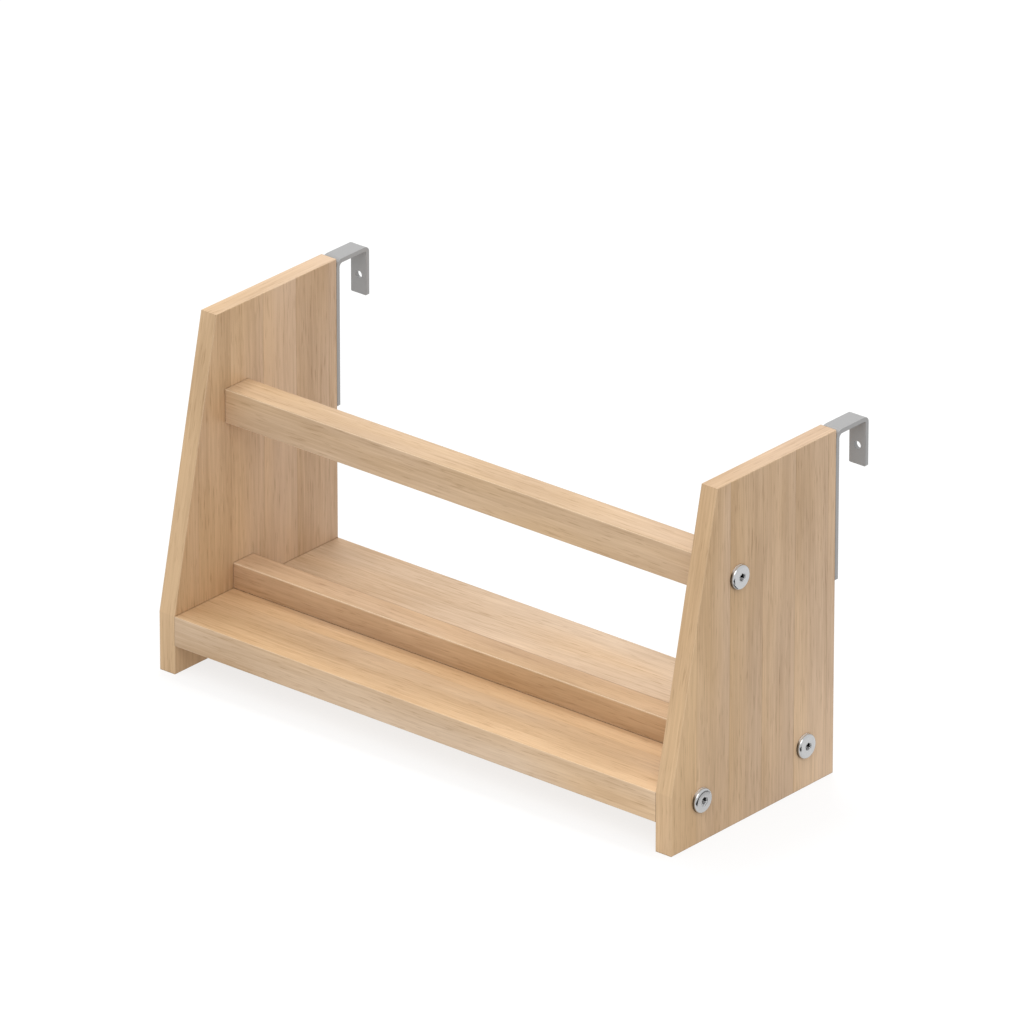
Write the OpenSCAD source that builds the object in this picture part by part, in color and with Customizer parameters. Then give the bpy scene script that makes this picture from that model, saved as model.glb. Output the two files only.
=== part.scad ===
// Bedside tray that hangs from the guard rail of a bed. Two tapered end panels carry a shelf,
// a nearly square rail above it, and two bent flat-bar hooks on their back edges carry the whole
// tray. Connector bolts pull the shelf and the rail against the panels, and dowels keep them from
// turning.
// The tray is long along X, open at the front (-Y), and its hooks reach back (+Y).
// The origin is on the surface it can stand on, in the middle of its length and depth.

/* [End panels] */
// Length of the tray over both end panels
tray_l = 440; // [330:1:700]
// Height of an end panel
panel_h = 245; // [225:1:330]
// Depth of an end panel at its foot
panel_d = 165; // [160:1:230]
// Depth of an end panel at its top
panel_top_d = 120.5; // [115:0.5:150]
// Thickness of an end panel
panel_t = 13.5; // [12:0.5:20]
// Chamfer round both faces of an end panel
panel_arris = 0.3; // [0.2:0.1:1.5]

/* [Shelf] */
// Thickness of the shelf
shelf_t = 21.5; // [19:0.5:28]
// Height of the shelf's underside above the feet of the panels
shelf_lift = 20.7; // [10:0.1:40]
// Radius of the shelf's long edges
shelf_edge_r = 0.5; // [0.3:0.1:3]

/* [Divider batten] */
// Height of the batten that divides the shelf
batten_h = 18.5; // [16:0.5:40]
// Depth of the batten
batten_d = 20.5; // [14:0.5:30]
// Distance from the back of the shelf to the batten
batten_inset = 85.5; // [40:0.5:100]
// Radius of the batten's long edges
batten_edge_r = 0.5; // [0.3:0.1:3]

/* [Top rail] */
// Height of the rail
rail_h = 24.2; // [23:0.1:36]
// Depth of the rail
rail_d = 23.5; // [22:0.5:34]
// Distance from the back of the panels to the rail
rail_inset = 89.2; // [40:0.1:90]
// Height of the rail's underside above the feet of the panels
rail_lift = 164.8; // [90:0.1:180]
// Radius of the rail's long edges
rail_edge_r = 0.5; // [0.3:0.1:4]

/* [Hooks] */
// Thickness of the flat bar
strap_t = 3; // [2.5:0.1:5]
// Gap in a hook for the guard rail of the bed
hook_gap = 27; // [16:1:60]
// Length of a hook's leg, down the back edge of its panel
leg_l = 106; // [80:1:140]
// Length of a hook's lip, down the far side of the guard rail
lip_l = 35.3; // [25:0.1:60]
// Height left between the top of a hook and the top of its panel
hook_drop = 1.2; // [0:0.1:10]
// Inside radius of the bend at the leg
leg_bend_r = 3; // [1:0.1:6]
// Inside radius of the bend at the lip
lip_bend_r = 1.2; // [0.5:0.1:4]
// Radius of the corners at both ends of the bar
strap_corner_r = 0.8; // [0.5:0.1:4]
// Diameter of the hole in the lip
lip_hole_dia = 5.5; // [3:0.1:8]
// Height of the hole above the end of the lip
lip_hole_up = 13.5; // [8:0.5:15]

/* [Connector bolts] */
// Diameter of a bolt's flat head
head_dia = 17; // [14:0.5:20]
// Thickness of the head
head_t = 3; // [2:0.1:4]
// Radius that rounds the outer edge of the head
head_rim_r = 1.6; // [0.3:0.1:1.8]
// Diameter of the bolt's shank
shank_dia = 6; // [5:0.1:7]
// Length of the bolt under its head
bolt_l = 50; // [45:1:60]
// Width across the flats of the hexagon socket
socket_af = 5; // [3:0.1:5.2]
// Depth of the socket below the face of the head
socket_deep = 4; // [2:0.1:4.5]
// Distance from the front of the shelf to its front bolts
front_bolt_inset = 29.5; // [20:0.5:40]
// Distance from the back of the shelf to its rear bolts
rear_bolt_inset = 29.5; // [20:0.5:40]
// Distance that all the bolts lie below the middle of their boards
bolt_drop = 1.2; // [0:0.1:1.2]
// Distance that the rail's bolts lie behind the middle of the rail
rail_bolt_shift = 2.3; // [0:0.1:3]

/* [Barrel nuts and dowels] */
// Diameter of a barrel nut
nut_dia = 10; // [9:0.5:12]
// Length of a barrel nut
nut_l = 14; // [12:0.5:16]
// Distance from the end of the board to the axis of its barrel nuts
nut_inset = 28; // [25:0.5:30]
// Diameter of a dowel
dowel_dia = 6; // [5:0.5:8]
// Length of a dowel
dowel_l = 30; // [24:1:36]
// Length of the dowel that is in the end panel
dowel_in_panel = 9; // [7:0.5:10]

/* [Wood screws] */
// Diameter of the screws' shanks
screw_dia = 4; // [3:0.1:4.5]
// Diameter of the countersunk heads
screw_head_dia = 8; // [7:0.1:9]
// Length of the screws through the hooks
hook_screw_l = 30; // [20:1:40]
// Length of the screws from the shelf into the batten
batten_screw_l = 35; // [30:1:36]
// Number of screws along the batten
batten_screw_count = 3; // [2:1:5]

/* [Hidden] */
$fn = 64;

// Fits
overrun = 1;
bolt_gap = 0.3;
thread_gap = 0.05;
dowel_gap = 0.05;
nut_gap = 0.1;
hole_end_gap = 1;
screw_gap = 0.25;

// Sides: the right side is modelled, and the left side is its mirror image
left = -1;
right = 1;

// Overall depth, with the panels at the front and the hooks behind them
hook_reach = hook_gap + 2 * strap_t;
back_y = (panel_d - hook_reach) / 2;
front_y = back_y - panel_d;
top_front_y = back_y - panel_top_d;
inner_x = tray_l / 2 - panel_t;
outer_x = tray_l / 2;

// The front edge leans back from the top of the shelf
shelf_top = shelf_lift + shelf_t;
panel_outline = [
    [back_y, 0],
    [front_y, 0],
    [front_y, shelf_top],
    [top_front_y, panel_h],
    [back_y, panel_h]
];

batten_back = back_y - batten_inset;
rail_back = back_y - rail_inset;

// Bolt axes, [y, z]
rail_middle = [rail_back - rail_d / 2, rail_lift + rail_h / 2];
shelf_bolt_z = shelf_lift + shelf_t / 2 - bolt_drop;
rail_axis = rail_middle + [rail_bolt_shift, -bolt_drop];
front_axis = [front_y + front_bolt_inset, shelf_bolt_z];
rear_axis = [back_y - rear_bolt_inset, shelf_bolt_z];
bolt_axes = [rail_axis, front_axis, rear_axis];

// Bolt details
neck_share = 1.35;
neck_r = neck_share * shank_dia / 2;
neck_min_l = 2;
socket_floor_t = 1;
neck_l = max(neck_min_l, socket_deep - head_t + socket_floor_t);
bolt_tip_share = 0.12;
bore_end = panel_t + nut_inset + nut_dia;

// Dowels: one in front of the rail's bolt and above it, two between the bolts of the shelf
rail_dowel_share = 0.27;
rail_dowel_axes = [rail_middle + rail_dowel_share * [-rail_d, rail_h]];
shelf_dowel_shares = [0.3, 0.7];
shelf_dowel_axes = [for (share = shelf_dowel_shares) rear_axis + share * (front_axis - rear_axis)];
dowel_axes = concat(rail_dowel_axes, shelf_dowel_axes);
dowel_tip_share = 0.2;

// Hooks: the bar is as wide as the panel is thick
hook_top = panel_h - hook_drop;
strap_w = panel_t;
hook_screw_drop_shares = [0.26, 0.86];
hook_screw_zs = [for (share = hook_screw_drop_shares) hook_top - share * leg_l];

// The slot of a barrel nut
nut_slot_share = 0.17;

// Countersunk heads
screw_head_l = (screw_head_dia - screw_dia) / 2;
screw_tip_l = screw_dia;
screw_slot_share = 0.6;
screw_slot_w_share = 0.25;

// Screws along the batten, [x]
batten_screw_step = 2 * inner_x / batten_screw_count;
batten_screw_xs = [for (i = [0:batten_screw_count - 1]) (i + 0.5) * batten_screw_step - inner_x];
batten_axis_y = batten_back - batten_d / 2;

steel_grey = [0.62, 0.63, 0.65];
bright_nickel = [0.82, 0.82, 0.80];
zinc = [0.70, 0.71, 0.73];
oak = [0.82, 0.68, 0.52];
beech = [0.85, 0.72, 0.56];

// Moves what is modelled for the right side to the given side
module on_side(side) {
    mirror([side == left ? 1 : 0, 0, 0]) children();
}

// Turns an outline drawn as [y, z] so that its thickness runs along X
module along_x() {
    rotate([90, 0, 90]) children();
}

// A bar of the tray's inner length with its back face at back and its underside at base
module inner_bar(back, base, depth, height, edge_r) {
    translate([-inner_x, back - depth, base]) along_x() linear_extrude(2 * inner_x) {
        translate([edge_r, 0]) square([depth - 2 * edge_r, height]);
        translate([0, edge_r]) square([depth, height - 2 * edge_r]);
        for (y = [edge_r, depth - edge_r], z = [edge_r, height - edge_r])
            translate([y, z]) circle(edge_r);
    }
}

// A hole along X from one depth inside the panel's outer face to another
module side_hole(axis, dia, from, to) {
    translate([outer_x - to, axis.x, axis.y]) rotate([0, 90, 0])
        cylinder(d = dia, h = to - from);
}

// The end panel's board as [y, z] by thickness, with a small chamfer round both of its faces
module panel_blank() {
    hull() {
        translate([0, 0, panel_arris]) linear_extrude(panel_t - 2 * panel_arris)
            polygon(panel_outline);
        linear_extrude(panel_t) offset(delta = -panel_arris) polygon(panel_outline);
    }
}

module end_panel(side) {
    color(oak) on_side(side) difference() {
        translate([inner_x, 0, 0]) along_x() panel_blank();
        for (axis = bolt_axes) {
            side_hole(axis, shank_dia + 2 * bolt_gap, -overrun, panel_t + overrun);
            side_hole(axis, 2 * (neck_r + bolt_gap), -overrun, neck_l + bolt_gap);
        }
        for (axis = dowel_axes)
            side_hole(axis, dowel_dia + 2 * dowel_gap, panel_t - dowel_in_panel - hole_end_gap,
                panel_t + overrun);
        for (z = hook_screw_zs)
            hook_screw_hole(z, screw_dia + 2 * thread_gap, hook_screw_l + hole_end_gap);
    }
}

// The holes that one end of a board gets for its bolts, barrel nuts and dowels
module end_joint_holes(bolts, dowels, base) {
    for (side = [left, right]) on_side(side) {
        for (axis = bolts) {
            side_hole(axis, shank_dia + 2 * bolt_gap, panel_t - overrun, bore_end);
            translate([outer_x - panel_t - nut_inset, axis.x, base - overrun])
                cylinder(d = nut_dia + 2 * nut_gap, h = axis.y + nut_l / 2 + nut_gap - base + overrun);
        }
        for (axis = dowels)
            side_hole(axis, dowel_dia + 2 * dowel_gap, panel_t - overrun,
                panel_t + dowel_l - dowel_in_panel + hole_end_gap);
    }
}

module shelf_board() {
    color(oak) difference() {
        inner_bar(back_y, shelf_lift, panel_d, shelf_t, shelf_edge_r);
        end_joint_holes([front_axis, rear_axis], shelf_dowel_axes, shelf_lift);
        for (x = batten_screw_xs) translate([x, batten_axis_y, shelf_lift])
            screw_hole(shelf_t + overrun, screw_dia + 2 * screw_gap);
    }
}

module divider_batten() {
    color(oak) difference() {
        inner_bar(batten_back, shelf_top, batten_d, batten_h, batten_edge_r);
        for (x = batten_screw_xs) translate([x, batten_axis_y, shelf_lift])
            cylinder(d = screw_dia + 2 * thread_gap, h = batten_screw_l + hole_end_gap);
    }
}

module top_rail() {
    color(oak) difference() {
        inner_bar(rail_back, rail_lift, rail_d, rail_h, rail_edge_r);
        end_joint_holes([rail_axis], rail_dowel_axes, rail_lift);
    }
}

// A quarter of a ring in the bar's side outline; the quarter lies towards +z and the given y sign
module bend(inner_r, y_sign) {
    outer_r = inner_r + strap_t;
    intersection() {
        difference() {
            circle(outer_r);
            circle(inner_r);
        }
        translate([y_sign < 0 ? -outer_r : 0, 0]) square(outer_r);
    }
}

// Side outline of the bar as [y, z], with the front of the leg and the top of the arm on the axes
module hook_outline() {
    leg_outer = leg_bend_r + strap_t;
    lip_outer = lip_bend_r + strap_t;
    translate([0, -leg_l]) square([strap_t, leg_l - leg_outer]);
    translate([leg_outer, -leg_outer]) bend(leg_bend_r, -1);
    translate([leg_outer, -strap_t]) square([hook_reach - leg_outer - lip_outer, strap_t]);
    translate([hook_reach - lip_outer, -lip_outer]) bend(lip_bend_r, 1);
    translate([hook_reach - strap_t, -lip_l]) square([strap_t, lip_l - lip_outer]);
}

// What rounds off the two corners of the bar's end at height z, from y on and over the given depth
module end_corner_cuts(z, y, depth) {
    translate([0, y, z]) rotate([-90, 0, 0]) for (x = [0, 1])
        translate([x * strap_w, 0, 0]) mirror([x, 0, 0]) difference() {
            translate([-overrun, -strap_corner_r, 0])
                cube([strap_corner_r + overrun, strap_corner_r + overrun, depth]);
            translate([strap_corner_r, -strap_corner_r, -overrun])
                cylinder(r = strap_corner_r, h = depth + 2 * overrun);
        }
}

module hook(side) {
    color(steel_grey) on_side(side) difference() {
        translate([outer_x - strap_w, back_y, hook_top]) difference() {
            along_x() linear_extrude(strap_w) hook_outline();
            end_corner_cuts(-leg_l, -overrun, strap_t + 2 * overrun);
            end_corner_cuts(-lip_l, hook_reach - strap_t - overrun, strap_t + 2 * overrun);
            translate([strap_w / 2, hook_reach + overrun, lip_hole_up - lip_l]) rotate([90, 0, 0])
                cylinder(d = lip_hole_dia, h = strap_t + 2 * overrun);
        }
        for (z = hook_screw_zs) on_hook_leg(z)
            screw_hole(strap_t + overrun, screw_dia + 2 * screw_gap);
    }
}

// Places a screw modelled along +Z so that it enters the back of the hook's leg at height z
module on_hook_leg(z) {
    translate([outer_x - strap_w / 2, back_y + strap_t, z]) rotate([90, 0, 0]) children();
}

module hook_screw_hole(z, dia, length) {
    on_hook_leg(z) cylinder(d = dia, h = length);
}

// A clearance hole with a countersink at its mouth, along +Z
module screw_hole(length, dia) {
    translate([0, 0, -overrun]) cylinder(d = dia, h = length + overrun);
    cylinder(d1 = screw_head_dia + 2 * screw_gap, d2 = dia, h = screw_head_l);
}

// A countersunk wood screw with a cross recess, its flat face at the origin and its tip at +Z
module wood_screw(length) {
    slot_l = screw_slot_share * screw_head_dia;
    slot_w = screw_slot_w_share * screw_dia;
    difference() {
        rotate_extrude() polygon([
            [0, 0],
            [screw_head_dia / 2, 0],
            [screw_dia / 2, screw_head_l],
            [screw_dia / 2, length - screw_tip_l],
            [0, length]
        ]);
        for (turn = [0, 90]) rotate([0, 0, turn])
            cube([slot_l, slot_w, screw_head_l], center = true);
    }
}

// Outline of half a bolt head as [radius, height], with its outer edge rounded
module head_outline() {
    square([head_dia / 2 - head_rim_r, head_t]);
    square([head_dia / 2, head_t - head_rim_r]);
    translate([head_dia / 2 - head_rim_r, head_t - head_rim_r]) intersection() {
        circle(head_rim_r);
        square(head_rim_r);
    }
}

// A connector bolt: flat head, short neck and shank, with a hexagon socket
module connector_bolt(side, axis) {
    tip = bolt_tip_share * shank_dia;
    color(bright_nickel) on_side(side) translate([outer_x, axis.x, axis.y]) rotate([0, 90, 0])
        difference() {
            union() {
                rotate_extrude() head_outline();
                translate([0, 0, -neck_l]) cylinder(r = neck_r, h = neck_l + head_t / 2);
                translate([0, 0, tip - bolt_l]) cylinder(d = shank_dia - 2 * thread_gap, h = bolt_l - tip);
                translate([0, 0, -bolt_l])
                    cylinder(d1 = shank_dia - 2 * tip, d2 = shank_dia - 2 * thread_gap, h = tip);
            }
            translate([0, 0, head_t - socket_deep])
                cylinder(d = socket_af / cos(30), h = socket_deep + overrun, $fn = 6);
        }
}

// A barrel nut across the bolt's path, with a screwdriver slot in its lower end
module barrel_nut(side, axis) {
    slot_w = nut_slot_share * nut_dia;
    color(zinc) on_side(side)
        translate([outer_x - panel_t - nut_inset, axis.x, axis.y - nut_l / 2]) difference() {
            cylinder(d = nut_dia, h = nut_l);
            translate([0, 0, nut_l / 2]) rotate([0, 90, 0])
                cylinder(d = shank_dia, h = nut_dia + 2 * overrun, center = true);
            cube([nut_dia + 2 * overrun, slot_w, slot_w], center = true);
        }
}

// Dowels across the joint between the end panel and a board, with tapered tips
module dowels(side, axes) {
    tip = dowel_tip_share * dowel_dia;
    color(beech) on_side(side) for (axis = axes)
        translate([outer_x - panel_t + dowel_in_panel - dowel_l, axis.x, axis.y]) rotate([0, 90, 0])
            rotate_extrude() polygon([
                [0, 0],
                [dowel_dia / 2 - tip, 0],
                [dowel_dia / 2, tip],
                [dowel_dia / 2, dowel_l - tip],
                [dowel_dia / 2 - tip, dowel_l],
                [0, dowel_l]
            ]);
}

module hook_screws(side) {
    color(zinc) on_side(side) for (z = hook_screw_zs) on_hook_leg(z) wood_screw(hook_screw_l);
}

module batten_screws() {
    color(zinc) for (x = batten_screw_xs) translate([x, batten_axis_y, shelf_lift])
        wood_screw(batten_screw_l);
}

end_panel(left);  // left_end_panel
end_panel(right);  // right_end_panel
shelf_board();
divider_batten();
top_rail();
hook(left);  // left_hook
hook(right);  // right_hook
connector_bolt(left, rail_axis);  // left_rail_bolt
connector_bolt(left, front_axis);  // left_front_bolt
connector_bolt(left, rear_axis);  // left_rear_bolt
connector_bolt(right, rail_axis);  // right_rail_bolt
connector_bolt(right, front_axis);  // right_front_bolt
connector_bolt(right, rear_axis);  // right_rear_bolt
barrel_nut(left, rail_axis);  // left_rail_nut
barrel_nut(left, front_axis);  // left_front_nut
barrel_nut(left, rear_axis);  // left_rear_nut
barrel_nut(right, rail_axis);  // right_rail_nut
barrel_nut(right, front_axis);  // right_front_nut
barrel_nut(right, rear_axis);  // right_rear_nut
dowels(left, rail_dowel_axes);  // left_rail_dowel
dowels(right, rail_dowel_axes);  // right_rail_dowel
dowels(left, shelf_dowel_axes);  // left_shelf_dowels
dowels(right, shelf_dowel_axes);  // right_shelf_dowels
hook_screws(left);  // left_hook_screws
hook_screws(right);  // right_hook_screws
batten_screws();
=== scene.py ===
import math

import bpy
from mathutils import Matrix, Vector


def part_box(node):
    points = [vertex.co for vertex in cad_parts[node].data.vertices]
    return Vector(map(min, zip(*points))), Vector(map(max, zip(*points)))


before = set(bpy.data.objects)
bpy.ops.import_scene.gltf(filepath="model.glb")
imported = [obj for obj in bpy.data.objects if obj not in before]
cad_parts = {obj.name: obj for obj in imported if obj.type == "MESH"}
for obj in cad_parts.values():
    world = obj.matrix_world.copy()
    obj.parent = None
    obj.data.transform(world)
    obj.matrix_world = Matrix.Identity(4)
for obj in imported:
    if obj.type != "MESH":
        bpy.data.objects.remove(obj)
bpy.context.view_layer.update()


# End panels
# Two tapered oak boards stand at the ends of the tray and carry everything else. They are glued up
# from upright staves, each a little different in tone, and sanded, with a clear matt lacquer.
# The edges are banded with strips whose grain runs along them.

panel_pale = (0.685, 0.480, 0.310, 1)
# The right panel's paler colour is painted light on the same oak
right_panel_pale_painted_light = (0.780, 0.548, 0.352, 1)
panel_dark = (0.420, 0.268, 0.154, 1)
pink_tint = (0.990, 1.025, 1.095, 1)
honey_tint = (1.010, 0.988, 0.880, 1)
# Painted light on the boards: a pale highlight for the edges, and painted shade for the back edges and
# the joints
painted_edge_highlight = (0.940, 0.770, 0.560, 1)
painted_back_edge_shade = (0.330, 0.210, 0.120, 1)
painted_joint_shade = (0.190, 0.090, 0.034, 1)


def add(tree, kind, **settings):
    """Adds a node of this kind to a node tree and sets it up."""
    made = tree.nodes.new(kind)
    for name, value in settings.items():
        setattr(made, name, value)
    return made


def feed(tree, socket, value):
    """Gives an input either another node's output or a fixed value."""
    if isinstance(value, bpy.types.NodeSocket):
        tree.links.new(value, socket)
    else:
        socket.default_value = value


def sum_up(tree, operation, *terms):
    """The output of a maths node that works on these terms."""
    made = add(tree, "ShaderNodeMath", operation=operation)
    for socket, term in zip(made.inputs, terms):
        feed(tree, socket, term)
    return made.outputs[0]


def vector_sum(tree, operation, *terms):
    """The output of a vector maths node that works on these terms."""
    made = add(tree, "ShaderNodeVectorMath", operation=operation)
    for socket, term in zip(made.inputs, terms):
        feed(tree, socket, term)
    return made.outputs["Value" if operation == "DOT_PRODUCT" else "Vector"]


def facing(tree, normal, direction):
    """1 where a surface faces this way, 0 where it is square to it, -1 where it faces the other way."""
    return vector_sum(tree, "DOT_PRODUCT", normal, direction)


def split(tree, vector):
    """The three parts of a vector, by name."""
    made = add(tree, "ShaderNodeSeparateXYZ")
    feed(tree, made.inputs[0], vector)
    return made.outputs


def joined(tree, *parts):
    """A vector made of up to three parts."""
    made = add(tree, "ShaderNodeCombineXYZ")
    for socket, part in zip(made.inputs, parts):
        feed(tree, socket, part)
    return made.outputs[0]


def stretched(tree, place, along, across):
    """A place with its length along the grain and its other two sides scaled apart."""
    return vector_sum(tree, "MULTIPLY", place, (along, across, across))


def noise(tree, place, seed, detail=2.0, roughness=0.5):
    """Smooth noise from 0 to 1 at a place that is already scaled, different for each seed."""
    made = add(tree, "ShaderNodeTexNoise", noise_dimensions="4D")
    feed(tree, made.inputs["Vector"], place)
    feed(tree, made.inputs["W"], seed)
    made.inputs["Scale"].default_value = 1.0
    made.inputs["Detail"].default_value = detail
    made.inputs["Roughness"].default_value = roughness
    return made.outputs["Fac"]


def spread(tree, value, low, high):
    """A value stretched so that low becomes 0 and high becomes 1, with both ends cut off."""
    made = add(tree, "ShaderNodeMapRange", interpolation_type="SMOOTHSTEP")
    feed(tree, made.inputs["Value"], value)
    made.inputs["From Min"].default_value = low
    made.inputs["From Max"].default_value = high
    return made.outputs["Result"]


def blended(tree, share, first, second, blend_type="MIX"):
    """Two colours mixed by a share."""
    made = add(tree, "ShaderNodeMix", data_type="RGBA", blend_type=blend_type)
    feed(tree, made.inputs["Factor"], share)
    feed(tree, made.inputs["A"], first)
    feed(tree, made.inputs["B"], second)
    return made.outputs["Result"]


def new_group(name, inputs, outputs):
    """A shader node group with these named sockets, and its two end nodes."""
    tree = bpy.data.node_groups.new(name, "ShaderNodeTree")
    for title, kind in inputs.items():
        tree.interface.new_socket(name=title, in_out="INPUT", socket_type="NodeSocket" + kind)
    for title, kind in outputs.items():
        tree.interface.new_socket(name=title, in_out="OUTPUT", socket_type="NodeSocket" + kind)
    return tree, add(tree, "NodeGroupInput").outputs, add(tree, "NodeGroupOutput").inputs


def use_group(tree, group, values):
    """Adds a node group with these values at its inputs, and gives its outputs."""
    made = add(tree, "ShaderNodeGroup", node_tree=group)
    for title, value in values.items():
        feed(tree, made.inputs[title], value)
    return made.outputs


def new_material(name):
    """A new material, its node tree and its surface node."""
    material = bpy.data.materials.new(name)
    material.use_nodes = True
    return material, material.node_tree, material.node_tree.nodes["Principled BSDF"]


def add_relief(tree, surface, height, normal, strength, depth):
    """Gives a surface fine relief, on top of a normal that already rolls over the edges."""
    bump = add(tree, "ShaderNodeBump")
    bump.inputs["Strength"].default_value = strength
    bump.inputs["Distance"].default_value = depth
    feed(tree, bump.inputs["Height"], height)
    feed(tree, bump.inputs["Normal"], normal)
    feed(tree, surface.inputs["Normal"], bump.outputs["Normal"])


def make_oak_grain():
    """Straight-grained oak in metres: staves, broad bands, growth rings, fibres and open pores."""
    tree, given, result = new_group(
        "oak grain",
        {"Place": "Vector", "Board": "Float", "Pale": "Color", "Dark": "Color", "Honey": "Color",
         "Grain": "Float", "Stave start": "Float", "Stave width": "Float", "Glue line": "Float",
         "Warmth": "Float", "Darker": "Float"},
        {"Colour": "Color", "Roughness": "Float", "Height": "Float"})
    board = given["Board"]

    # Each stave comes from another plank, so its grain, tone and hue jump at the glue line
    board_step = 17.3
    plank_shift = (3.0, 0.7, 0.0)
    glue_line_out, glue_line_in = 0.0005, 0.0001
    offset = sum_up(tree, "SUBTRACT", split(tree, given["Place"])["Y"], given["Stave start"])
    staves = sum_up(tree, "DIVIDE", offset, given["Stave width"])
    plank = add(tree, "ShaderNodeTexWhiteNoise", noise_dimensions="1D")
    stave_number = sum_up(tree, "FLOOR", staves)
    feed(tree, plank.inputs["W"], sum_up(tree, "MULTIPLY_ADD", board, board_step, stave_number))
    from_seam = sum_up(tree, "MULTIPLY", sum_up(tree, "PINGPONG", staves, 0.5), given["Stave width"])
    seam = spread(tree, from_seam, glue_line_out, glue_line_in)
    shift = vector_sum(tree, "MULTIPLY", plank.outputs["Color"], plank_shift)
    place = vector_sum(tree, "ADD", given["Place"], shift)

    # The grain wanders slowly sideways along the board
    wander_scale = (2.6, 9.0)
    wander_y, wander_z = 0.010, -0.008
    wander = noise(tree, stretched(tree, place, *wander_scale), board, 1.0)
    sideways = joined(tree, 0.0, sum_up(tree, "MULTIPLY_ADD", wander, wander_y, -wander_y / 2),
                      sum_up(tree, "MULTIPLY_ADD", wander, wander_z, -wander_z / 2))
    place = vector_sum(tree, "ADD", place, sideways)

    # Each layer has its scale along and across the grain, its detail, its roughness and its weight
    bands = (1.8, 75.0, 1.0, 0.5, 0.36)
    rings = (5.0, 260.0, 2.0, 0.6, 0.50)
    fibres = (20.0, 760.0, 2.0, 0.7, 1.15)
    clouds = (8.0, 26.0, 2.0, 0.5, 1.20)
    plank_weight = 0.32
    tone = sum_up(tree, "MULTIPLY_ADD", plank.outputs["Value"], plank_weight, -plank_weight / 2)
    for along, across, detail, roughness, weight in [bands, rings, fibres, clouds]:
        layer = noise(tree, stretched(tree, place, along, across), board, detail, roughness)
        tone = sum_up(tree, "MULTIPLY_ADD", sum_up(tree, "SUBTRACT", layer, 0.5), weight, tone)

    # Short dark pores lie in the grain, and thin glue lines between the staves
    pore_scale = (75.0, 1150.0)
    pore_edge, pore_middle = 0.58, 0.73
    pore_weight, seam_weight = 0.42, 0.40
    usual_tone = 0.34
    speckle = noise(tree, stretched(tree, place, *pore_scale), board, 1.0)
    pores = spread(tree, speckle, pore_edge, pore_middle)
    tone = sum_up(tree, "MULTIPLY_ADD", pores, pore_weight, tone)
    tone = sum_up(tree, "MULTIPLY_ADD", tone, given["Grain"], usual_tone)
    tone = sum_up(tree, "ADD", tone, given["Darker"])
    glue = sum_up(tree, "MULTIPLY", seam, given["Glue line"])
    tone = sum_up(tree, "MULTIPLY_ADD", glue, seam_weight, tone)
    dark = sum_up(tree, "MINIMUM", sum_up(tree, "MAXIMUM", tone, 0.0), 1.0)

    # Some of the wood is more honey coloured, and some of it a greyer pink
    hue_scale = (5.0, 26.0)
    hue_seed_step = 4.0
    plank_hue = 0.16
    all_pink, all_honey = 0.20, 0.80
    hue_seed = sum_up(tree, "ADD", board, hue_seed_step)
    hue = noise(tree, stretched(tree, place, *hue_scale), hue_seed, 2.0)
    plank_parts = add(tree, "ShaderNodeSeparateColor")
    feed(tree, plank_parts.inputs[0], plank.outputs["Color"])
    from_plank = sum_up(tree, "SUBTRACT", plank_parts.outputs[1], 0.5)
    hue = sum_up(tree, "MULTIPLY_ADD", from_plank, plank_hue, hue)
    hue = sum_up(tree, "ADD", hue, given["Warmth"])
    tint = blended(tree, spread(tree, hue, all_pink, all_honey), pink_tint, given["Honey"])
    wood = blended(tree, dark, given["Pale"], given["Dark"])

    pale_roughness, extra_roughness = 0.48, 0.10
    feed(tree, result["Colour"], blended(tree, 1.0, wood, tint, "MULTIPLY"))
    feed(tree, result["Roughness"], sum_up(tree, "MULTIPLY_ADD", dark, extra_roughness, pale_roughness))
    feed(tree, result["Height"], sum_up(tree, "SUBTRACT", 1.0, dark))
    return tree


oak_grain = make_oak_grain()


def make_edge_roll_and_light():
    """Finds the edges of a board, for a painted highlight, and those at its back, for painted shade,
    and gives a normal that rolls over them.
    """
    tree, given, result = new_group(
        "edge roll and painted light", {"Radius": "Float"}, {"Edge": "Float", "Back edge": "Float", "Normal": "Vector"})
    barely_rolled, well_rolled = 0.9995, 0.95
    soft = add(tree, "ShaderNodeBevel", samples=6)
    feed(tree, soft.inputs["Radius"], given["Radius"])
    flat = add(tree, "ShaderNodeNewGeometry").outputs["True Normal"]
    rolled = spread(tree, facing(tree, soft.outputs["Normal"], flat), barely_rolled, well_rolled)

    # The narrow faces of a rounded edge lie askew
    nearly_square, well_askew = 0.97, 0.85
    straight = split(tree, vector_sum(tree, "ABSOLUTE", flat))
    squarer = sum_up(tree, "MAXIMUM", straight["X"], straight["Y"])
    squarest = sum_up(tree, "MAXIMUM", straight["Z"], squarer)
    edge = sum_up(tree, "MAXIMUM", rolled, spread(tree, squarest, nearly_square, well_askew))
    backwards = spread(tree, facing(tree, soft.outputs["Normal"], (0, 1, 0)), 0.01, 0.08)
    back_edge = sum_up(tree, "MULTIPLY", edge, backwards)
    feed(tree, result["Edge"], sum_up(tree, "SUBTRACT", edge, back_edge))
    feed(tree, result["Back edge"], back_edge)
    feed(tree, result["Normal"], soft.outputs["Normal"])
    return tree


edge_roll_and_light = make_edge_roll_and_light()


def make_joint_shade():
    """Finds the narrow gaps between pieces, where less light gets in, as a mask for painted shade."""
    open_enough, closed_in = 0.90, 0.45
    tree, given, result = new_group("joint shade", {"Reach": "Float"}, {"Shade": "Float"})
    open_share = add(tree, "ShaderNodeAmbientOcclusion", samples=12)
    feed(tree, open_share.inputs["Distance"], given["Reach"])
    feed(tree, result["Shade"], spread(tree, open_share.outputs["AO"], open_enough, closed_in))
    return tree


joint_shade = make_joint_shade()


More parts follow.
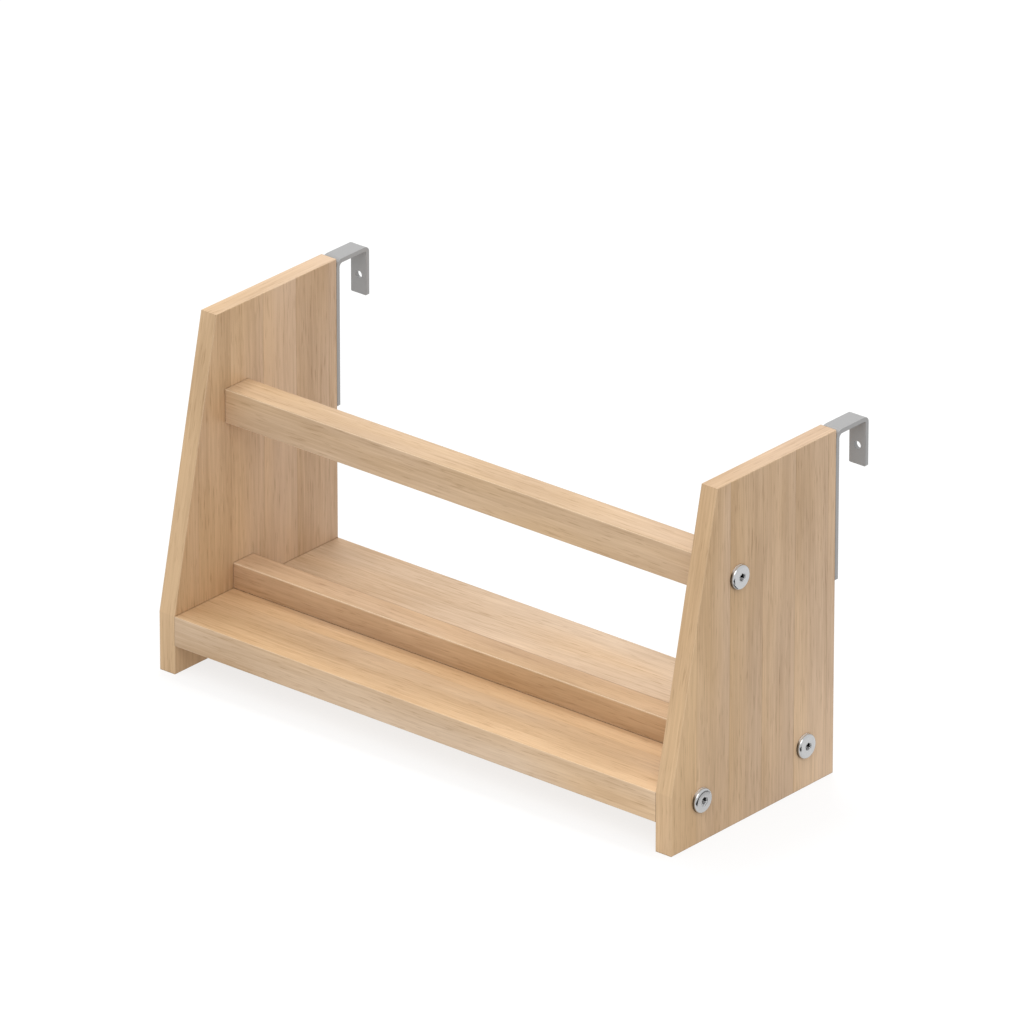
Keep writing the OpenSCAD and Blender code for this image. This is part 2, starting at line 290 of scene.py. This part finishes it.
def place_along(tree, axis, spot):
    """The place on a board that lies along X, or stands along Z: along its grain, then across it."""
    parts = split(tree, spot["Object"])
    if axis == "X":
        return joined(tree, parts["X"], parts["Y"], parts["Z"])

    # A standing board has its own strips along its top and bottom, and up its front and back
    strip_from = 0.75
    sides = split(tree, vector_sum(tree, "ABSOLUTE", spot["Normal"]))
    chosen = joined(tree, parts["Z"], parts["Y"], parts["X"])
    for side, along in [("Y", "Z"), ("Z", "Y")]:
        made = add(tree, "ShaderNodeMix", data_type="VECTOR")
        feed(tree, made.inputs["Factor"], sum_up(tree, "GREATER_THAN", sides[side], strip_from))
        feed(tree, made.inputs["A"], chosen)
        feed(tree, made.inputs["B"], joined(tree, parts[along], parts["X"]))
        chosen = made.outputs["Result"]
    return chosen


def lacquered_oak(name, board, axis, pale, dark, edge_radius, edge_share, joint_share, *, grain=1.0,
                  stave_start=-0.060, stave_width=0.080, glue_line=0.0, honey=honey_tint,
                  front_warmth=0.0, cool_face=0.0, painted_shade_end=("X", 0.0, 1.0, 0.0)):
    """Matt lacquered oak with its grain along one axis, warmer towards the tray's front, with a painted
    highlight on its edges and painted shade on its back edges and in its joints.

    cool_face takes warmth away from what faces forwards. The last argument is the side along which
    painted shade darkens the board, where that starts and ends, and how much.
    """
    material, tree, surface = new_material(name)
    spot = add(tree, "ShaderNodeTexCoord").outputs
    parts = split(tree, spot["Object"])
    forwards = spread(tree, facing(tree, spot["Normal"], (0, -1, 0)), 0.3, 0.9)
    cooler = sum_up(tree, "MULTIPLY", forwards, -cool_face)
    side, pale_at, dark_at, darker = painted_shade_end
    figure = use_group(tree, oak_grain, {
        "Place": place_along(tree, axis, spot), "Board": board, "Pale": pale, "Dark": dark,
        "Honey": honey, "Grain": grain, "Stave start": stave_start, "Stave width": stave_width,
        "Glue line": glue_line,
        "Warmth": sum_up(tree, "MULTIPLY_ADD", parts["Y"], -front_warmth, cooler),
        "Darker": sum_up(tree, "MULTIPLY", spread(tree, parts[side], pale_at, dark_at), darker)})

    joint_reach = 0.0015
    back_edge_share = 0.80
    edge_extra_roughness = 0.35
    edges = use_group(tree, edge_roll_and_light, {"Radius": edge_radius})
    joints = use_group(tree, joint_shade, {"Reach": joint_reach})
    # Painted light and shade: a pale highlight on the edges, a dark line of painted shade on the back
    # edges, and painted shade in the joints
    colour = figure["Colour"]
    for mask, share, finish in [(edges["Edge"], edge_share, painted_edge_highlight),
                                (edges["Back edge"], back_edge_share, painted_back_edge_shade),
                                (joints["Shade"], joint_share, painted_joint_shade)]:
        colour = blended(tree, sum_up(tree, "MULTIPLY", mask, share), colour, finish)
    feed(tree, surface.inputs["Base Color"], colour)
    feed(tree, surface.inputs["Roughness"],
         sum_up(tree, "MULTIPLY_ADD", edges["Edge"], edge_extra_roughness, figure["Roughness"]))
    surface.inputs["Specular IOR Level"].default_value = 0.35
    add_relief(tree, surface, figure["Height"], edges["Normal"], strength=0.15, depth=0.0002)
    return material


def finish_node(name, material):
    """Gives a piece of the frame its finish, with smooth shading on its round faces."""
    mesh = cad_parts[name].data
    mesh.materials.clear()
    mesh.materials.append(material)
    mesh.shade_smooth()


# The right panel's paler colour is painted light, and its darkening towards its top is painted shade
for side, board, pale, grain, top_painted_shade in [
        ("left", 3.7, panel_pale, 1.0, 0.0), ("right", 8.2, right_panel_pale_painted_light, 0.72, 0.20)]:
    finish_node(side + "_end_panel", lacquered_oak(
        side + " panel oak", board, "Z", pale, panel_dark,
        edge_radius=0.0007, edge_share=0.14, joint_share=0.40, grain=grain,
        stave_start=-0.041, stave_width=0.033, glue_line=0.7,
        front_warmth=3.2, painted_shade_end=("Z", 0.03, 0.20, top_painted_shade)))


# Shelf
# One wide oak board fills the width between the panels, flush with them front and back. Its grain
# runs along the tray, and its long edges are slightly rounded. It is more orange towards the
# front, its front face is greyer, and painted shade darkens it towards the left panel.

shelf_pale = (0.785, 0.580, 0.392, 1)
shelf_dark = (0.500, 0.332, 0.192, 1)
shelf_honey = (1.015, 0.945, 0.815, 1)

finish_node("shelf_board", lacquered_oak(
    "shelf oak", 5.1, "X", shelf_pale, shelf_dark,
    edge_radius=0.0012, edge_share=0.26, joint_share=0.55,
    stave_start=-0.057, stave_width=0.061, glue_line=0.3, honey=shelf_honey,
    front_warmth=3.0, cool_face=0.28, painted_shade_end=("X", 0.0, -0.16, 0.28)))


# Divider batten
# A thin oak strip stands on the shelf along its middle and keeps a phone from sliding back.
# It is screwed on from below. Its front edge is rounded and carries a painted highlight, its back
# edge a thin line of painted shade, and painted shade darkens its sides towards the shelf.

batten_pale = (0.648, 0.428, 0.252, 1)
batten_dark = (0.400, 0.238, 0.124, 1)
# Painted shade: a thin dark line along the top of the batten at its back edge
batten_back_edge_shade = (0.330, 0.205, 0.115, 1)
batten_edge_radius = 0.0013
batten_back_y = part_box("divider_batten")[1][1]
# Painted shade darkens the batten's sides from this height down to the shelf
batten_shade_from_z = 0.0606
batten_shade_full_z = 0.0500


def paint_back_edge_shade(material, back_y, width, share, dark):
    """Paints shade on the top of a board close to its back edge, as a thin dark line."""
    tree = material.node_tree
    base_colour = tree.nodes["Principled BSDF"].inputs["Base Color"]
    spot = add(tree, "ShaderNodeTexCoord").outputs
    facing_up = spread(tree, facing(tree, spot["Normal"], (0, 0, 1)), 0.20, 0.60)
    depth = split(tree, spot["Object"])["Y"]
    near_edge = spread(tree, depth, back_y - width, back_y - 0.4 * width)
    shade = sum_up(tree, "MULTIPLY", sum_up(tree, "MULTIPLY", near_edge, facing_up), share)
    feed(tree, base_colour, blended(tree, shade, base_colour.links[0].from_socket, dark))


batten_oak = lacquered_oak(
    "batten oak", 1.9, "X", batten_pale, batten_dark,
    edge_radius=batten_edge_radius, edge_share=0.62, joint_share=0.60,
    painted_shade_end=("Z", batten_shade_from_z, batten_shade_full_z, 0.24))
paint_back_edge_shade(batten_oak, batten_back_y, width=batten_edge_radius, share=0.75, dark=batten_back_edge_shade)
finish_node("divider_batten", batten_oak)


# Top rail
# A square oak bar joins the panels above the shelf, so that books and bottles can't fall out.
# One bolt and one dowel hold each end.

rail_pale = (0.715, 0.510, 0.334, 1)
rail_dark = (0.450, 0.292, 0.166, 1)

finish_node("top_rail", lacquered_oak(
    "rail oak", 6.6, "X", rail_pale, rail_dark,
    edge_radius=0.0011, edge_share=0.38, joint_share=0.35))


# Hooks
# Each hook is a steel flat bar bent twice, with a satin silver-grey powder coat. Its long leg is
# screwed to the back edge of its panel, and its short lip goes over the guard rail of the bed.

coat_grey = (0.345, 0.343, 0.342, 1)


def two_tones(colour):
    """A slightly darker and a slightly paler version of a colour."""
    return [tuple(share * part for part in colour[:3]) + (1,) for share in (0.94, 1.06)]


def powder_coat(name, colour):
    """Satin powder coat on steel: an even grey with a fine orange-peel relief."""
    peel_scale, drift_scale = 900.0, 40.0
    material, tree, surface = new_material(name)
    spot = add(tree, "ShaderNodeTexCoord").outputs
    peel = noise(tree, stretched(tree, spot["Object"], peel_scale, peel_scale), 2.0)
    drift = noise(tree, stretched(tree, spot["Object"], drift_scale, drift_scale), 5.0)
    darker, paler = two_tones(colour)
    share = sum_up(tree, "MULTIPLY_ADD", drift, 0.25, 0.40)
    feed(tree, surface.inputs["Base Color"], blended(tree, share, darker, paler))
    feed(tree, surface.inputs["Roughness"], sum_up(tree, "MULTIPLY_ADD", peel, 0.10, 0.30))
    surface.inputs["Metallic"].default_value = 0.15
    edges = use_group(tree, edge_roll_and_light, {"Radius": 0.0004})
    add_relief(tree, surface, peel, edges["Normal"], strength=0.10, depth=0.0001)
    return material


hook_coat = powder_coat("hook coat", coat_grey)
for side in ["left", "right"]:
    finish_node(side + "_hook", hook_coat)


# Connector bolts
# Six steel furniture bolts pull the shelf and the rail against the panels. Their flat heads lie on
# the panels' outer faces, bright nickel plated, with a rounded rim and a hexagon socket.

nickel = (0.520, 0.525, 0.530, 1)
# Painted shade and painted light for the walls of the bolts' sockets
painted_socket_shade = (0.060, 0.060, 0.062, 1)
painted_socket_light = (0.950, 0.950, 0.950, 1)


def plated_steel(name, colour, roughness, roll):
    """Plated steel with the fine marks of turning, rolled edges, painted shade in its recesses and
    painted light on their upward walls.
    """
    mark_scale = (2400.0, 500.0)
    material, tree, surface = new_material(name)
    spot = add(tree, "ShaderNodeTexCoord").outputs
    marks = noise(tree, stretched(tree, spot["Object"], *mark_scale), 3.0)
    darker, paler = two_tones(colour)

    # In a socket or slot painted shade darkens the walls, and the walls that face up get painted light
    recess_depth = 0.004
    recess = use_group(tree, joint_shade, {"Reach": recess_depth})["Shade"]
    facing_up = spread(tree, facing(tree, spot["Normal"], (0, 0, 1)), 0.40, 0.80)
    inside = blended(tree, facing_up, painted_socket_shade, painted_socket_light)
    outside = blended(tree, marks, darker, paler)
    feed(tree, surface.inputs["Base Color"], blended(tree, recess, outside, inside))
    lit_wall = sum_up(tree, "MULTIPLY", recess, facing_up)
    feed(tree, surface.inputs["Metallic"], sum_up(tree, "SUBTRACT", 1.0, lit_wall))
    feed(tree, surface.inputs["Roughness"], sum_up(tree, "MULTIPLY_ADD", marks, 0.08, roughness))
    rim = add(tree, "ShaderNodeBevel", samples=8)
    rim.inputs["Radius"].default_value = roll
    add_relief(tree, surface, marks, rim.outputs["Normal"], strength=0.05, depth=0.00005)
    return material


bolt_places = ["rail", "front", "rear"]
bolt_plate = plated_steel("bright nickel", nickel, roughness=0.12, roll=0.0018)
for side in ["left", "right"]:
    for place in bolt_places:
        finish_node(side + "_" + place + "_bolt", bolt_plate)


# Barrel nuts, screws and dowels
# The barrel nuts lie across the bolts' paths in the shelf and the rail, and show only from below.
# Countersunk wood screws hold the hooks and the batten, and beech dowels locate the joints.

zinc = (0.560, 0.570, 0.585, 1)
beech_pale = (0.720, 0.520, 0.350, 1)
beech_dark = (0.600, 0.400, 0.250, 1)

zinc_plate = plated_steel("zinc plate", zinc, roughness=0.30, roll=0.0003)
turned_beech = lacquered_oak(
    "turned beech", 2.2, "X", beech_pale, beech_dark,
    edge_radius=0.0003, edge_share=0.2, joint_share=0.2, grain=0.4, stave_width=0.500)
for side in ["left", "right"]:
    for place in bolt_places:
        finish_node(side + "_" + place + "_nut", zinc_plate)
    finish_node(side + "_hook_screws", zinc_plate)
    finish_node(side + "_rail_dowel", turned_beech)
    finish_node(side + "_shelf_dowels", turned_beech)
finish_node("batten_screws", zinc_plate)


# Floor
# A pale studio floor under the tray. What the lens or a shiny surface sees of it is lifted to
# white, and it keeps the soft shadow of the tray.

floor_extent = (-6.0, -6.0, 6.0, 6.0)
floor_tone = 0.25
floor_lift = 0.76
floor_glow = 0.42


def seen_directly(tree):
    """1 for what the lens sees, also in a mirror or through glass, and 0 for light on the tray."""
    path = add(tree, "ShaderNodeLightPath")
    seen = sum_up(tree, "MAXIMUM", path.outputs["Is Camera Ray"], path.outputs["Is Glossy Ray"])
    return sum_up(tree, "MAXIMUM", seen, path.outputs["Is Transmission Ray"])


def flat_sheet(name, extent, height, tone):
    """A level matt sheet beside or under the tray, from its low corner to its high corner."""
    low_x, low_y, high_x, high_y = extent
    mesh = bpy.data.meshes.new(name)
    mesh.from_pydata([(low_x, low_y, height), (high_x, low_y, height),
                      (high_x, high_y, height), (low_x, high_y, height)], [], [(0, 1, 2, 3)])
    sheet = bpy.data.objects.new(name, mesh)
    bpy.context.scene.collection.objects.link(sheet)
    material, tree, surface = new_material(name)
    surface.inputs["Base Color"].default_value = (tone, tone, tone, 1)
    surface.inputs["Roughness"].default_value = 0.9
    surface.inputs["Specular IOR Level"].default_value = 0.0
    mesh.materials.append(material)
    return sheet, tree, surface


floor_tree, floor_surface = flat_sheet("floor", floor_extent, 0.0, floor_tone)[1:]
floor_surface.inputs["Emission Color"].default_value = (1, 1, 1, 1)
feed(floor_tree, floor_surface.inputs["Emission Strength"],
     sum_up(floor_tree, "MULTIPLY_ADD", seen_directly(floor_tree), floor_lift - floor_glow, floor_glow))


# Dark cards
# Two matt dark cards lie on the floor to the right of the tray. Only shiny metal sees them, and
# they give the rounded rims of the bolt heads a dark side.

card_tone = 0.020
card_height = 0.0005

for name, extent in [("near_card", (0.272, -0.190, 0.380, 0.062)),
                     ("far_card", (0.430, -0.420, 0.950, 0.050))]:
    card = flat_sheet(name, extent, card_height, card_tone)[0]
    card.visible_camera = False
    card.visible_diffuse = False
    card.visible_shadow = False
    card.visible_transmission = False


# Light
# Even studio light from all round, brighter from above. A softbox stands high behind the tray's
# left end, and a wide soft screen in front of its right end fills the shadows.

low_sky = 0.62
high_sky = 0.95


def studio_sky():
    """White where it is seen, and an even light on the tray that is brighter from above."""
    world = bpy.data.worlds.new("studio")
    bpy.context.scene.world = world
    world.use_nodes = True
    tree = world.node_tree
    light = tree.nodes["Background"]
    spot = add(tree, "ShaderNodeTexCoord").outputs
    height = spread(tree, split(tree, spot["Generated"])["Z"], -0.1, 1.0)
    strength = add(tree, "ShaderNodeMix", data_type="FLOAT")
    feed(tree, strength.inputs["Factor"], seen_directly(tree))
    feed(tree, strength.inputs["A"], sum_up(tree, "MULTIPLY_ADD", height, high_sky - low_sky, low_sky))
    strength.inputs["B"].default_value = 1.0
    feed(tree, light.inputs["Strength"], strength.outputs["Result"])
    light.inputs["Color"].default_value = (1, 1, 1, 1)


studio_sky()


def aimed(thing, target):
    """Turns a lamp or the camera towards a point, upright."""
    away = Vector(target) - thing.location
    thing.rotation_mode = "QUATERNION"
    thing.rotation_quaternion = away.to_track_quat("-Z", "Y")


def soft_lamp(name, size, power, place):
    """A round lamp with an even face, aimed at the tray."""
    lamp = bpy.data.objects.new(name, bpy.data.lights.new(name, "AREA"))
    lamp.data.shape = "DISK"
    lamp.data.size = size
    lamp.data.energy = power
    lamp.location = place
    bpy.context.scene.collection.objects.link(lamp)
    aimed(lamp, (0, 0, 0.1))


soft_lamp("softbox", size=0.8, power=32.0, place=(-0.66, 0.76, 3.3))
soft_lamp("screen", size=2.4, power=30.0, place=(1.40, -1.95, 2.60))


# Camera
# A very long lens, from the right of the open front and above, as a catalogue picture has it.

view_azimuth = math.radians(40.259)
view_elevation = math.radians(24.585)
view_distance = 9.0627
view_centre = Vector((-0.00222, 0.00465, 0.14250))

camera = bpy.data.objects.new("camera", bpy.data.cameras.new("camera"))
bpy.context.scene.collection.objects.link(camera)
bpy.context.scene.camera = camera
camera.data.sensor_width = 36.0
camera.data.lens = 487.19
camera.data.clip_end = 60.0
towards_camera = Vector((
    math.sin(view_azimuth) * math.cos(view_elevation),
    -math.cos(view_azimuth) * math.cos(view_elevation),
    math.sin(view_elevation)))
camera.location = view_centre + view_distance * towards_camera
aimed(camera, view_centre)

bpy.context.scene.view_settings.view_transform = "Standard"
